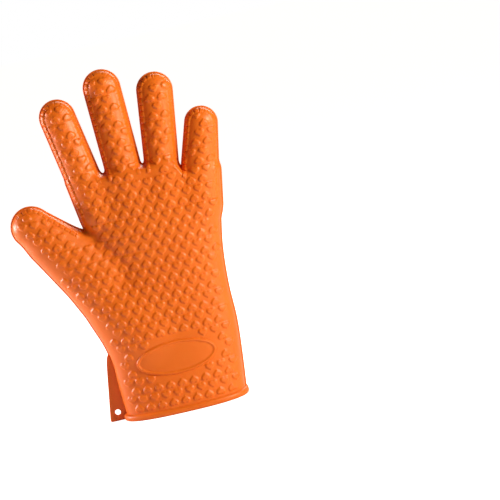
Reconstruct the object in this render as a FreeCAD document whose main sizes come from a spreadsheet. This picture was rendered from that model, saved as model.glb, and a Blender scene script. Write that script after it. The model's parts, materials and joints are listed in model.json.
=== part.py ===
# Heat resistant glove: a hollow silicone moulding that stands on its cuff, palm side towards +Y,
# thumb towards -X. The glove is split where the soft wall bends, so that each rigid length of a
# finger is a tube of its own and each crease between two lengths is a short sleeve.
# Origin: middle of the bounding box, on the plane of the cuff's rim. Millimetres, +Z up.
import FreeCAD
import Part
import Sketcher
import os

doc = FreeCAD.newDocument("heatResistantGlove")

# ---------------------------------------------------------------- driving sizes
sheet = doc.addObject("Spreadsheet::Sheet", "Sizes")

sizes = [
    ("wallThickness", 1.8, "silicone wall everywhere but the rim"),
    ("cuffWidth", 100.0, "cuff across, at the rim"),
    ("cuffDepth", 52.0, "cuff front to back, at the rim"),
    ("beadHeight", 5.0, "rolled rim, tall"),
    ("beadProud", 1.5, "rolled rim, proud of the sleeve"),
    ("wristLevel", 60.0, "where the cuff sleeve ends and the palm starts"),
    ("wristWidth", 109.0, "palm across, at the wrist"),
    ("wristDepth", 42.0, "palm front to back, at the wrist"),
    ("wristOffset", 0.7, "middle of the wrist, from the middle of the cuff"),
    ("palmLevel", 116.0, "middle of the palm"),
    ("palmWidth", 106.0, "palm across, without the thumb's root"),
    ("palmDepth", 35.0, "palm front to back"),
    ("palmOffset", 4.1, "middle of the palm, from the middle of the cuff"),
    ("creaseLevel", 166.0, "lower edge of the knuckle crease"),
    ("creaseHeight", 12.0, "height of the knuckle crease"),
    ("creaseWidth", 114.3, "palm across, at the crease's lower edge"),
    ("creaseDepth", 35.0, "palm front to back, at the crease's lower edge"),
    ("creaseOffset", 8.3, "middle of the crease's lower edge, from the middle of the cuff"),
    ("knuckleWidth", 118.5, "palm across, at the crease's upper edge"),
    ("knuckleDepth", 35.5, "palm front to back, at the crease's upper edge"),
    ("knuckleOffset", 8.5, "middle of the crease's upper edge, from the middle of the cuff"),
    ("knuckleHeight", 8.0, "from the crease's upper edge to the top of the web that the fingers stand on"),
    ("webDepth", 36.0, "web front to back, at its top"),
    ("webPastIndex", 2.2, "web beyond the index finger"),
    ("webPastLittle", 1.8, "web beyond the little finger"),
    ("fingerRootDepth", 25.0, "finger front to back, at its root"),
    ("fingerTipDepth", 22.0, "finger front to back, at its tip"),
    ("thumbRootDepth", 29.0, "thumb front to back, at its root"),
    ("thumbTipDepth", 25.0, "thumb front to back, at its tip"),
    ("middleGap", 9.0, "length of the crease at a finger's middle joint"),
    ("endGap", 8.0, "length of the crease at a finger's or the thumb's end joint"),
    ("thumbGap", 10.0, "length of the crease at the thumb's base"),
    ("indexApart", 4.0, "between the roots of the index and middle fingers"),
    ("indexRise", 15.9, "root of the index finger, above the web"),
    ("indexLean", -9.6, "lean of the index finger, degrees towards +X"),
    ("indexLower", 11.0, "lower tube of the index finger"),
    ("indexMiddle", 13.0, "middle tube of the index finger"),
    ("indexEnd", 6.6, "straight part of the index finger's end cap"),
    ("indexRootWidth", 29.2, "index finger across, at its root"),
    ("indexTipWidth", 29.0, "index finger across, at its tip"),
    ("middleX", -6.1, "root of the middle finger, from the middle of the cuff"),
    ("middleRise", 16.0, "root of the middle finger, above the web"),
    ("middleLean", -1.7, "lean of the middle finger, degrees towards +X"),
    ("middleLower", 15.0, "lower tube of the middle finger"),
    ("middleMiddle", 18.0, "middle tube of the middle finger"),
    ("middleEnd", 11.7, "straight part of the middle finger's end cap"),
    ("middleRootWidth", 29.6, "middle finger across, at its root"),
    ("middleTipWidth", 30.0, "middle finger across, at its tip"),
    ("ringApart", 2.8, "between the roots of the middle and ring fingers"),
    ("ringRise", 15.6, "root of the ring finger, above the web"),
    ("ringLean", 7.7, "lean of the ring finger, degrees towards +X"),
    ("ringLower", 12.0, "lower tube of the ring finger"),
    ("ringMiddle", 15.0, "middle tube of the ring finger"),
    ("ringEnd", 7.9, "straight part of the ring finger's end cap"),
    ("ringRootWidth", 27.8, "ring finger across, at its root"),
    ("ringTipWidth", 29.0, "ring finger across, at its tip"),
    ("littleApart", -0.2, "between the roots of the ring and little fingers, one above the other"),
    ("littleRise", 2.3, "root of the little finger, above the web"),
    ("littleLean", 14.3, "lean of the little finger, degrees towards +X"),
    ("littleLower", 5.0, "lower tube of the little finger"),
    ("littleMiddle", 8.5, "middle tube of the little finger"),
    ("littleEnd", 2.0, "straight part of the little finger's end cap"),
    ("littleRootWidth", 30.4, "little finger across, at its root"),
    ("littleTipWidth", 26.8, "little finger across, at its tip"),
    ("thumbX", -65.0, "root of the thumb, from the middle of the cuff"),
    ("thumbZ", 140.9, "level of the thumb's root"),
    ("thumbLean", -39.3, "lean of the thumb, degrees towards +X"),
    ("thumbLower", 9.0, "lower tube of the thumb"),
    ("thumbEnd", 8.8, "straight part of the thumb's end cap"),
    ("thumbRootWidth", 43.2, "thumb across, at its root"),
    ("thumbTipWidth", 34.0, "thumb across, at its tip"),
    ("heelOffset", -18.8, "middle of the thumb's heel at the wrist, from the middle of the cuff"),
    ("heelWidth", 70.0, "thumb's heel across, at the wrist"),
    ("heelDepth", 40.0, "thumb's heel front to back, at the wrist"),
    ("lowBallX", -31.5, "middle of the low section of the thumb's ball"),
    ("lowBallZ", 93.5, "level of the low section of the thumb's ball"),
    ("lowBallLean", -25.5, "lean of the low section of the thumb's ball"),
    ("lowBallWidth", 60.0, "low section of the thumb's ball, across"),
    ("lowBallDepth", 37.0, "low section of the thumb's ball, front to back"),
    ("highBallX", -55.3, "middle of the high section of the thumb's ball"),
    ("highBallZ", 132.1, "level of the high section of the thumb's ball"),
    ("highBallLean", -34.5, "lean of the high section of the thumb's ball"),
    ("highBallWidth", 51.0, "high section of the thumb's ball, across"),
    ("highBallDepth", 31.0, "high section of the thumb's ball, front to back"),
    ("plateWidth", 65.0, "oval plate on each face of the cuff, across"),
    ("plateHeight", 27.0, "oval plate, tall"),
    ("plateLevel", 44.5, "middle of the oval plate"),
    ("plateOffset", 1.5, "middle of the oval plate, from the middle of the cuff"),
    ("plateThickness", 1.2, "oval plate, proud of the sleeve's wall"),
    ("tabThickness", 3.2, "hanging tab, front to back"),
    ("tabReach", 14.5, "hanging tab, outwards from the cuff's edge, at its bottom"),
    ("tabTopReach", 4.0, "hanging tab, outwards from the cuff's edge, at its top"),
    ("tabHeight", 55.0, "hanging tab, tall"),
    ("tabCorner", 4.5, "rounded outer corner of the hanging tab"),
    ("tabRoot", 12.0, "hanging tab, inwards from the cuff's edge before the cuff is cut out"),
    ("holeRadius", 2.4, "hole in the hanging tab"),
    ("holeLevel", 7.0, "hole, above the tab's bottom"),
    ("holeReach", 5.9, "hole, outwards from the cuff's edge"),
    ("eyeletRadius", 4.2, "raised ring round the hole, outside"),
    ("eyeletBore", 3.0, "raised ring round the hole, inside"),
    ("eyeletHeight", 0.8, "raised ring, proud of the tab's palm side"),
]
for row, (alias, value, meaning) in enumerate(sizes, start=1):
    sheet.set(f"A{row}", alias)
    sheet.set(f"B{row}", str(value))
    sheet.setAlias(f"B{row}", alias)
    sheet.set(f"C{row}", meaning)
doc.recompute()

fingers = ("index", "middle", "ring", "little")
parts = []


# ---------------------------------------------------------------- building blocks
def addSection(name, width, depth, x, z, tilt):
    # An ellipse across the glove: width along X, depth along Y, its plane tilted about Y.
    section = doc.addObject("Part::Ellipse", name)
    section.setExpression("MajorRadius", f"({width}) / 2")
    section.setExpression("MinorRadius", f"({depth}) / 2")
    base = f"vector({x}; 0; {z})"
    turn = f"rotation(vector(0; 1; 0); {tilt})"
    section.setExpression("Placement", f"placement({base}; {turn})")
    return section


def addLoft(name, sections, ruled=False):
    loft = doc.addObject("Part::Loft", name)
    loft.Sections = sections
    loft.Solid = True
    loft.Ruled = ruled
    return loft


def addCut(name, base, tool):
    cut = doc.addObject("Part::Cut", name)
    cut.Base = base
    cut.Tool = tool
    return cut


def addFuse(name, pieces):
    fuse = doc.addObject("Part::MultiFuse", name)
    fuse.Shapes = pieces
    return fuse


def keep(part, label, placement):
    # A finished sub-part: its label names its file, and it is placed in the glove's own frame.
    part.Label = label
    part.setExpression("Placement", placement)
    parts.append(part)


def thin(size, isInner):
    # The same size on the inside of the wall.
    return f"({size} - 2 * Sizes.wallThickness)" if isInner else f"({size})"


# ---------------------------------------------------------------- where the pieces stand
thumbRun = "(Sizes.thumbGap + Sizes.thumbLower + Sizes.endGap + Sizes.thumbEnd)"
littleRun = ("(Sizes.littleLower + Sizes.middleGap + Sizes.littleMiddle"
             " + Sizes.endGap + Sizes.littleEnd)")


def besideFinger(place, inner, outer, side):
    # The middle of a finger's root, a gap away from its neighbour nearer the middle finger.
    roots = f"(Sizes.{inner}RootWidth + Sizes.{outer}RootWidth) / 2"
    return f"({place} {side} ({roots} + Sizes.{outer}Apart))"


# Across the glove, the roots are set out from the middle finger. Upwards, the web stands on the
# knuckles and the roots stand on the web.
rootX = {"middle": "Sizes.middleX", "thumb": "Sizes.thumbX"}
rootX["index"] = besideFinger("Sizes.middleX", "middle", "index", "-")
rootX["ring"] = besideFinger("Sizes.middleX", "middle", "ring", "+")
rootX["little"] = besideFinger(rootX["ring"], "ring", "little", "+")
creaseTop = "(Sizes.creaseLevel + Sizes.creaseHeight)"
webTop = f"({creaseTop} + Sizes.knuckleHeight)"
webFloor = f"({webTop} - Sizes.wallThickness)"
rootZ = {finger: f"({webTop} + Sizes.{finger}Rise)" for finger in fingers}
rootZ["thumb"] = "Sizes.thumbZ"


def footX(finger):
    # The middle of a finger where it meets the web.
    return f"({rootX[finger]} - Sizes.{finger}Rise * tan(Sizes.{finger}Lean))"


webLeft = (f"({footX('index')} - Sizes.indexRootWidth / cos(Sizes.indexLean) / 2"
           " - Sizes.webPastIndex)")
webRight = (f"({footX('little')} + Sizes.littleRootWidth / cos(Sizes.littleLean) / 2"
            " + Sizes.webPastLittle)")
webWidth = f"({webRight} - {webLeft})"
webOffset = f"(({webRight} + {webLeft}) / 2)"
thumbEdge = f"(Sizes.thumbX + {thumbRun} * sin(Sizes.thumbLean) - Sizes.thumbTipWidth / 2)"
littleEdge = (f"({rootX['little']} + {littleRun} * sin(Sizes.littleLean)"
              " + Sizes.littleTipWidth / 2)")
cuffX = f"(-({thumbEdge} + {littleEdge}) / 2)"
onCuff = f"placement(vector({cuffX}; 0; 0); rotation(vector(0; 1; 0); 0))"


def onDigit(digit):
    # A digit's own frame: its root's middle, with +Z along the digit.
    base = f"vector({cuffX} + {rootX[digit]}; 0; {rootZ[digit]})"
    return f"placement({base}; rotation(vector(0; 1; 0); Sizes.{digit}Lean))"


# ---------------------------------------------------------------- fingers and thumb
def digitDepth(digit):
    family = "thumb" if digit == "thumb" else "finger"
    return f"Sizes.{family}RootDepth", f"Sizes.{family}TipDepth"


def addDigitSection(name, digit, run, total, tilt, isInner):
    # A section at a distance along the digit, between its root's and its tip's sizes.
    rootDepth, tipDepth = digitDepth(digit)
    share = f"({run}) / ({total})"
    width = (f"(Sizes.{digit}RootWidth + (Sizes.{digit}TipWidth - Sizes.{digit}RootWidth)"
             f" * {share})")
    depth = f"({rootDepth} + ({tipDepth} - {rootDepth}) * {share})"
    across = f"{thin(width, isInner)} / cos({tilt})"
    return addSection(name, across, thin(depth, isInner), "0", run, tilt)


def addTube(digit, label, start, end, total, startTilt, endTilt):
    # A straight length of a digit, open at both ends.
    solids = []
    for isInner in (False, True):
        side = "Inner" if isInner else "Outer"
        low = addDigitSection(f"{label}_{side}_low", digit, start, total, startTilt, isInner)
        high = addDigitSection(f"{label}_{side}_high", digit, end, total, endTilt, isInner)
        solids.append(addLoft(f"{label}_{side}", [low, high], ruled=True))
    keep(addCut(label, solids[0], solids[1]), label, onDigit(digit))


def addEndCap(digit, label, start, total, startTilt):
    # The last length of a digit: a tube closed by half an ellipsoid, as round as the tip is wide.
    tipDepth = digitDepth(digit)[1]
    solids = []
    for isInner in (False, True):
        side = "Inner" if isInner else "Outer"
        low = addDigitSection(f"{label}_{side}_low", digit, start, total, startTilt, isInner)
        high = addDigitSection(f"{label}_{side}_high", digit, total, total, "0", isInner)
        tube = addLoft(f"{label}_{side}_tube", [low, high], ruled=True)
        dome = doc.addObject("Part::Ellipsoid", f"{label}_{side}_dome")
        tipWidth = thin(f"Sizes.{digit}TipWidth", isInner)
        dome.setExpression("Radius1", f"{tipWidth} / 2")
        dome.setExpression("Radius2", f"{tipWidth} / 2")
        dome.setExpression("Radius3", f"{thin(tipDepth, isInner)} / 2")
        dome.Angle1 = 0
        dome.Angle2 = 90
        dome.setExpression("Placement.Base.z", total)
        solids.append(addFuse(f"{label}_{side}", [tube, dome]))
    keep(addCut(label, solids[0], solids[1]), label, onDigit(digit))


for finger in fingers:
    lean = f"Sizes.{finger}Lean"
    hinge = f"(-{lean} / 2)"
    foot = f"(-Sizes.{finger}Rise / cos({lean}))"
    runs = ["0", f"Sizes.{finger}Lower", "Sizes.middleGap", f"Sizes.{finger}Middle",
            "Sizes.endGap", f"Sizes.{finger}End"]
    levels = ["(" + " + ".join(runs[:count]) + ")" for count in range(1, len(runs) + 1)]
    total = levels[-1]
    addTube(finger, f"{finger}_lower_tube", foot, levels[1], total, f"(-{lean})", hinge)
    addTube(finger, f"{finger}_middle_crease", levels[1], levels[2], total, hinge, hinge)
    addTube(finger, f"{finger}_middle_tube", levels[2], levels[3], total, hinge, hinge)
    addTube(finger, f"{finger}_end_crease", levels[3], levels[4], total, hinge, hinge)
    addEndCap(finger, f"{finger}_end_cap", levels[4], total, hinge)

thumbLevels = ["0", "Sizes.thumbGap", "(Sizes.thumbGap + Sizes.thumbLower)",
               "(Sizes.thumbGap + Sizes.thumbLower + Sizes.endGap)"]
addTube("thumb", "thumb_base_crease", thumbLevels[0], thumbLevels[1], thumbRun, "0", "0")
addTube("thumb", "thumb_lower_tube", thumbLevels[1], thumbLevels[2], thumbRun, "0", "0")
addTube("thumb", "thumb_end_crease", thumbLevels[2], thumbLevels[3], thumbRun, "0", "0")
addEndCap("thumb", "thumb_end_cap", thumbLevels[3], thumbRun, "0")


# ---------------------------------------------------------------- palm and cuff
def addPalmSection(name, width, depth, offset, level, isInner):
    return addSection(name, thin(width, isInner), thin(depth, isInner), offset, level, "0")


def addShell(name, bodies):
    # Outer bodies joined, less inner bodies joined.
    outer = bodies[0][0] if len(bodies[0]) == 1 else addFuse(f"{name}_outer", bodies[0])
    inner = bodies[1][0] if len(bodies[1]) == 1 else addFuse(f"{name}_inner", bodies[1])
    return addCut(name, outer, inner)


def addHalves(shell, backLabel, frontLabel):
    # The shell parts at the plane where the two halves of the mould meet, Y = 0.
    span = 400.0
    for label, start in ((backLabel, -span), (frontLabel, 0.0)):
        block = doc.addObject("Part::Box", f"{label}_block")
        block.Length = span
        block.Width = span
        block.Height = span
        block.Placement.Base = FreeCAD.Vector(-span / 2, start, 0)
        half = doc.addObject("Part::Common", label)
        half.Base = shell
        half.Tool = block
        keep(half, label, onCuff)


def addBallSection(name, place, isInner):
    width = thin(f"Sizes.{place}Width", isInner)
    depth = thin(f"Sizes.{place}Depth", isInner)
    return addSection(name, width, depth, f"Sizes.{place}X", f"Sizes.{place}Z",
                      f"Sizes.{place}Lean")


palmBodies = ([], [])
sleeveBodies = ([], [])
creaseBodies = ([], [])
knuckleBodies = ([], [])
for isInner in (False, True):
    side = "Inner" if isInner else "Outer"
    rim = addPalmSection(f"rim{side}", "Sizes.cuffWidth", "Sizes.cuffDepth", "0",
                         "Sizes.beadHeight", isInner)
    wrist = addPalmSection(f"wrist{side}", "Sizes.wristWidth", "Sizes.wristDepth",
                           "Sizes.wristOffset", "Sizes.wristLevel", isInner)
    palm = addPalmSection(f"palm{side}", "Sizes.palmWidth", "Sizes.palmDepth",
                          "Sizes.palmOffset", "Sizes.palmLevel", isInner)
    crease = addPalmSection(f"crease{side}", "Sizes.creaseWidth", "Sizes.creaseDepth",
                            "Sizes.creaseOffset", "Sizes.creaseLevel", isInner)
    knuckle = addPalmSection(f"knuckle{side}", "Sizes.knuckleWidth", "Sizes.knuckleDepth",
                             "Sizes.knuckleOffset", creaseTop, isInner)
    sleeveBodies[isInner].append(addLoft(f"sleeve{side}", [rim, wrist], ruled=True))
    palmBodies[isInner].append(addLoft(f"palmBody{side}", [wrist, palm, crease]))
    creaseBodies[isInner].append(addLoft(f"creaseBody{side}", [crease, knuckle], ruled=True))

    # The thumb's root grows out of the palm between the wrist and the thumb's first crease.
    heel = addSection(f"heel{side}", thin("Sizes.heelWidth", isInner),
                      thin("Sizes.heelDepth", isInner), "Sizes.heelOffset",
                      "Sizes.wristLevel", "0")
    lowBall = addBallSection(f"lowBall{side}", "lowBall", isInner)
    highBall = addBallSection(f"highBall{side}", "highBall", isInner)
    thumbRoot = addSection(f"thumbRoot{side}", thin("Sizes.thumbRootWidth", isInner),
                           thin("Sizes.thumbRootDepth", isInner), "Sizes.thumbX",
                           "Sizes.thumbZ", "Sizes.thumbLean")
    palmBodies[isInner].append(addLoft(f"ball{side}", [heel, lowBall, highBall, thumbRoot]))

    webFoot = addPalmSection(f"webFoot{side}", webWidth, "Sizes.webDepth", webOffset, webFloor,
                             isInner)
    knuckleBodies[isInner].append(addLoft(f"knuckleBody{side}", [knuckle, webFoot], ruled=True))

keep(addShell("cuff_sleeve", sleeveBodies), "cuff_sleeve", onCuff)
keep(addShell("knuckle_crease", creaseBodies), "knuckle_crease", onCuff)
addHalves(addShell("palmShell", palmBodies), "back_panel", "palm_panel")
addHalves(addShell("knuckleShell", knuckleBodies), "knuckle_back", "knuckle_front")

# Web: a plate across the top of the knuckles, open under each finger.
plateSections = [addSection(f"web{end}", webWidth, "Sizes.webDepth", webOffset, level, "0")
                 for end, level in (("Low", webFloor), ("High", webTop))]
web = addLoft("webPlate", plateSections, ruled=True)
for finger in fingers:
    lean = f"Sizes.{finger}Lean"
    width = thin(f"Sizes.{finger}RootWidth", True) + f" / cos({lean})"
    mouth = [addSection(f"{finger}Mouth{end}", width, thin("Sizes.fingerRootDepth", True),
                        footX(finger), level, "0")
             for end, level in (("Low", webFloor + " - 1"), ("High", webTop + " + 1"))]
    web = addCut(f"{finger}Opening", web, addLoft(f"{finger}Mouth", mouth, ruled=True))
keep(web, "finger_web", onCuff)

# Rolled rim of the cuff.
beadSections = []
for isInner in (False, True):
    side = "Inner" if isInner else "Outer"
    grow = "- 2 * Sizes.wallThickness" if isInner else "+ 2 * Sizes.beadProud"
    pair = [addSection(f"bead{side}{end}", f"Sizes.cuffWidth {grow}", f"Sizes.cuffDepth {grow}",
                       "0", level, "0")
            for end, level in (("Low", "0"), ("High", "Sizes.beadHeight"))]
    beadSections.append(addLoft(f"bead{side}", pair, ruled=True))
keep(addCut("cuff_bead", beadSections[0], beadSections[1]), "cuff_bead", onCuff)

# Oval plates, one on each face of the cuff: a skin of even thickness that follows the sleeve.
plateSkin = []
for grow in ("0", "2 * Sizes.plateThickness"):
    name = "plateOver" if plateSkin else "plateUnder"
    low = addSection(f"{name}Low", f"Sizes.cuffWidth + {grow}", f"Sizes.cuffDepth + {grow}",
                     "0", "Sizes.beadHeight", "0")
    high = addSection(f"{name}High", f"Sizes.wristWidth + {grow}",
                      f"Sizes.wristDepth + {grow}", "Sizes.wristOffset", "Sizes.wristLevel",
                      "0")
    plateSkin.append(addLoft(name, [low, high], ruled=True))
skin = addCut("plateSkin", plateSkin[1], plateSkin[0])
for label, face in (("back_plate", -1), ("palm_plate", 1)):
    outline = doc.addObject("Part::Ellipse", f"{label}_outline")
    outline.setExpression("MajorRadius", "Sizes.plateWidth / 2")
    outline.setExpression("MinorRadius", "Sizes.plateHeight / 2")
    turn = "rotation(vector(1; 0; 0); 90)"
    outline.setExpression("Placement", f"placement(vector(Sizes.plateOffset; 0; Sizes.plateLevel); {turn})")
    cutter = doc.addObject("Part::Extrusion", f"{label}_cutter")
    cutter.Base = outline
    cutter.DirMode = "Custom"
    cutter.Dir = FreeCAD.Vector(0, face, 0)
    cutter.setExpression("LengthFwd", "Sizes.cuffDepth")
    cutter.Solid = True
    plate = doc.addObject("Part::Common", label)
    plate.Base = skin
    plate.Tool = cutter
    keep(plate, label, onCuff)

# Hanging tab beside the cuff, on the thumb's side, with a hole for a hook.
tabBody = doc.addObject("PartDesign::Body", "tabBody")
xzPlane = [plane for plane in tabBody.Origin.OriginFeatures if plane.Role == "XZ_Plane"][0]


def addSketch(name):
    sketch = tabBody.newObject("Sketcher::SketchObject", name)
    sketch.AttachmentSupport = (xzPlane, [""])
    sketch.MapMode = "FlatFace"
    return sketch


def fixPoint(sketch, line, x, z):
    # Hold the start of a line at a place given by the sheet; both are measured from the origin.
    for kind, size in (("DistanceX", x), ("DistanceY", z)):
        index = sketch.addConstraint(Sketcher.Constraint(kind, -1, 1, line, 1, 1.0))
        sketch.setExpression(f"Constraints[{index}]", size)


edgeX = "-Sizes.cuffWidth / 2"
tabCorners = [(f"{edgeX} - Sizes.tabReach", "0"),
              (f"{edgeX} + Sizes.tabRoot", "0"),
              (f"{edgeX} + Sizes.tabRoot", "Sizes.tabHeight"),
              (f"{edgeX} - Sizes.tabTopReach", "Sizes.tabHeight")]
tabSketch = addSketch("tabSketch")
starts = [(-65, 0), (-38, 0), (-38, 52), (-55, 52)]
for count, start in enumerate(starts):
    end = starts[(count + 1) % len(starts)]
    tabSketch.addGeometry(Part.LineSegment(FreeCAD.Vector(*start, 0), FreeCAD.Vector(*end, 0)))
for count in range(len(starts)):
    following = (count + 1) % len(starts)
    tabSketch.addConstraint(Sketcher.Constraint("Coincident", count, 2, following, 1))
for count, (x, z) in enumerate(tabCorners):
    fixPoint(tabSketch, count, x, z)
tabPad = tabBody.newObject("PartDesign::Pad", "tabPad")
tabPad.Profile = tabSketch
tabPad.setExpression("Length", "Sizes.tabThickness")
tabPad.Midplane = True
doc.recompute()

corner = tabSketch.Shape.BoundBox
outerEdges = []
for count, edge in enumerate(tabPad.Shape.Edges, start=1):
    box = edge.BoundBox
    if box.XLength < 1e-6 and box.ZLength < 1e-6:
        if abs(box.XMin - corner.XMin) < 1e-6 and abs(box.ZMin - corner.ZMin) < 1e-6:
            outerEdges.append(f"Edge{count}")
tabFillet = tabBody.newObject("PartDesign::Fillet", "tabFillet")
tabFillet.Base = (tabPad, outerEdges)
tabFillet.setExpression("Radius", "Sizes.tabCorner")
doc.recompute()

holeSketch = addSketch("holeSketch")
holeSketch.addGeometry(Part.Circle(FreeCAD.Vector(-56, 6, 0), FreeCAD.Vector(0, 0, 1), 2.0))
for kind, size in (("DistanceX", f"{edgeX} - Sizes.holeReach"), ("DistanceY", "Sizes.holeLevel")):
    index = holeSketch.addConstraint(Sketcher.Constraint(kind, -1, 1, 0, 3, 1.0))
    holeSketch.setExpression(f"Constraints[{index}]", size)
index = holeSketch.addConstraint(Sketcher.Constraint("Radius", 0, 2.0))
holeSketch.setExpression(f"Constraints[{index}]", "Sizes.holeRadius")
hole = tabBody.newObject("PartDesign::Pocket", "tabHole")
hole.Profile = holeSketch
hole.Type = 1
hole.Midplane = True
doc.recompute()
cuffOutside = addFuse("cuffOutside", [plateSkin[0], beadSections[0]])
keep(addCut("hang_tab", tabBody, cuffOutside), "hang_tab", onCuff)

# Raised ring round the hole, on the palm side of the tab.
ring = []
for name, radius in (("eyeletOuter", "Sizes.eyeletRadius"), ("eyeletInner", "Sizes.eyeletBore")):
    disc = doc.addObject("Part::Cylinder", name)
    disc.setExpression("Radius", radius)
    disc.setExpression("Height", "Sizes.eyeletHeight")
    base = (f"vector({edgeX} - Sizes.holeReach;"
            " Sizes.tabThickness / 2 + Sizes.eyeletHeight; Sizes.holeLevel)")
    disc.setExpression("Placement", f"placement({base}; rotation(vector(1; 0; 0); 90))")
    ring.append(disc)
keep(addCut("tab_eyelet", ring[0], ring[1]), "tab_eyelet", onCuff)


# ---------------------------------------------------------------- check and write
doc.recompute()
for item in doc.Objects:
    if "Invalid" in item.State or "Error" in item.State:
        raise RuntimeError(f"{item.Label} failed: {item.State}")
for part in parts:
    if part.Shape.isNull() or not part.Shape.isValid():
        raise RuntimeError(f"{part.Label} has no valid shape")

os.makedirs("parts", exist_ok=True)
for part in parts:
    part.Shape.exportStep(f"parts/{part.Label}.step")
    box = part.Shape.BoundBox
    print(f"{part.Label:22s} {part.Shape.Volume:9.0f} mm3  solids {len(part.Shape.Solids)}"
          f"  x {box.XMin:7.2f} {box.XMax:7.2f}  y {box.YMin:6.2f} {box.YMax:6.2f}"
          f"  z {box.ZMin:6.2f} {box.ZMax:6.2f}")
whole = Part.makeCompound([part.Shape for part in parts]).optimalBoundingBox()
print(f"{len(parts)} nodes, {whole.XLength:.2f} x {whole.YLength:.2f} x {whole.ZLength:.2f} mm,"
      f" middle x {whole.Center.x:.3f}, lowest z {whole.ZMin:.3f}")
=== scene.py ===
import json
import math

import bpy
import numpy as np
from mathutils import Matrix, Vector


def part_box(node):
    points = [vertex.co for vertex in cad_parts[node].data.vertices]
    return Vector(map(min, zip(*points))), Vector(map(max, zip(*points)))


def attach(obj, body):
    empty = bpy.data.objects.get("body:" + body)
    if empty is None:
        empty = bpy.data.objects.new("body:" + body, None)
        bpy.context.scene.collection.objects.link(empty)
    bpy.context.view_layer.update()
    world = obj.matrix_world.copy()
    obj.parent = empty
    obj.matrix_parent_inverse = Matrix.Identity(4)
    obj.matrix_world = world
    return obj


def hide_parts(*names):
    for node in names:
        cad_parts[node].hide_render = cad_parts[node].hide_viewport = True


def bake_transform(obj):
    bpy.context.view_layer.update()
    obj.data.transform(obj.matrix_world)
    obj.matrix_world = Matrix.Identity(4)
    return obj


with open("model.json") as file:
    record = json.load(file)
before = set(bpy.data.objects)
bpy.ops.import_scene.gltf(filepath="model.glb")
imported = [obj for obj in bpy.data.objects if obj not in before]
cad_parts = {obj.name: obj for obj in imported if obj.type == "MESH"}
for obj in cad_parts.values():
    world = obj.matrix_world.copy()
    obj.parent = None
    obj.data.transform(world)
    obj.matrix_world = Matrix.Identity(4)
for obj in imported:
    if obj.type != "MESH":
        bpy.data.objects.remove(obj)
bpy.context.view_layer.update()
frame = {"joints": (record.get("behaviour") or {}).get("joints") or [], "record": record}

mm = 0.001  # every shape is worked out in millimetres, about the cuff's middle, and written in metres

# where the cuff stands in the frame
beadLow, beadHigh = (np.array(c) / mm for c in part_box("cuff_bead"))
cuffX = (beadLow[0] + beadHigh[0]) / 2
jointAt = {j["name"]: np.array(j["pos_m"]) / mm for j in frame["joints"]}

# the camera comes first: it looks along +Y from a little above, and its roll leans the glove to the left
cameraSizes = {
    "aim": (91.9, 0.0, 111.5),
    "elevation": 8.0,
    "roll": 13.0,
    "distance": 1500.0,
    "across": 400.0,
    "sensor": 36.0,
}


# Right is cos(roll) X - sin(roll) U and up is sin(roll) X + cos(roll) U, where U = (0, sin e, cos e)
# is upright in the view before the roll.
def addCamera(s):
    e, r = math.radians(s["elevation"]), math.radians(s["roll"])
    sideways, upright = np.array([1.0, 0, 0]), np.array([0, math.sin(e), math.cos(e)])
    back = np.array([0, -math.cos(e), math.sin(e)])
    right = math.cos(r) * sideways - math.sin(r) * upright
    up = math.sin(r) * sideways + math.cos(r) * upright
    data = bpy.data.cameras.new("camera")
    data.sensor_width = s["sensor"]
    data.lens = data.sensor_width * s["distance"] / s["across"]
    camera = bpy.data.objects.new("camera", data)
    bpy.context.scene.collection.objects.link(camera)
    turn = np.eye(4)
    turn[:3, :3] = np.stack([right, up, back], axis=1)
    turn[:3, 3] = (np.array(s["aim"]) + back * s["distance"]) * mm
    camera.matrix_world = Matrix(turn.tolist())
    bpy.context.scene.camera = camera


addCamera(cameraSizes)
print("camera placed")

# the wall, the fin at the parting line, and the step that normals are measured with
skin = {"wall": 1.8, "fin": 1.2, "finThick": 1.2, "finRoot": 0.9, "step": 0.05}

# the palm and cuff: edges and half depth at a few heights, about the cuff's middle
palm = {
    "height": (0, 30, 60, 90, 120, 150, 180),
    "left": (-49.9, -51.4, -51.3, -51.0, -34.0, -43.5, -45.0),
    "right": (49.8, 53.0, 55.3, 55.1, 57.3, 62.4, 65.5),
    "depth": (26.0, 23.2, 21.0, 19.0, 17.6, 17.0, 14.5),
    "round": 2.6,
    "top": 196.0,
    "topDrop": 12.5,
    "topDropAt": 37.0,
    "topDropRun": 1.5,
}
heel = {"high": (-79.4, 150.6), "low": (-19.8, 63.9), "wide": (12.6, 25.0), "deep": (11.0, 19.5)}
ball = {"at": (-44.0, 124.0), "radius": 27.0}  # a disc inside the outline, where the thumb meets the palm
joins = {"heel": 14.0, "thumb": 9.0, "palm": 6.0, "fingers": 3.5, "top": 4.0}  # how wide each blend is

# width and depth at the first joint and at the tip, how far the bar runs into the palm, and the mesh:
# columns in half a turn, and rows below and above the ring between the joints
digitSizes = {
    "index": {"wide": (29.1, 29.0), "deep": (24.0, 22.0), "root": 49.5, "columns": 80, "rows": (48, 40)},
    "middle": {"wide": (29.7, 30.0), "deep": (24.0, 22.0), "root": 53.5, "columns": 80, "rows": (60, 48)},
    "ring": {"wide": (28.2, 29.0), "deep": (24.0, 22.0), "root": 50.5, "columns": 80, "rows": (52, 40)},
    "little": {"wide": (29.4, 26.8), "deep": (24.1, 22.0), "root": 39.5, "columns": 80, "rows": (40, 28)},
    "thumb": {"wide": (41.9, 34.0), "deep": (28.4, 25.0), "root": 35.0, "columns": 110, "rows": (28, 40)},
}
fingers = ("index", "middle", "ring", "little")
jointNames = {f: (f + "_bend", f + "_end_bend") for f in fingers}
jointNames["thumb"] = ("thumb_base_bend", "thumb_end_bend")


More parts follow.
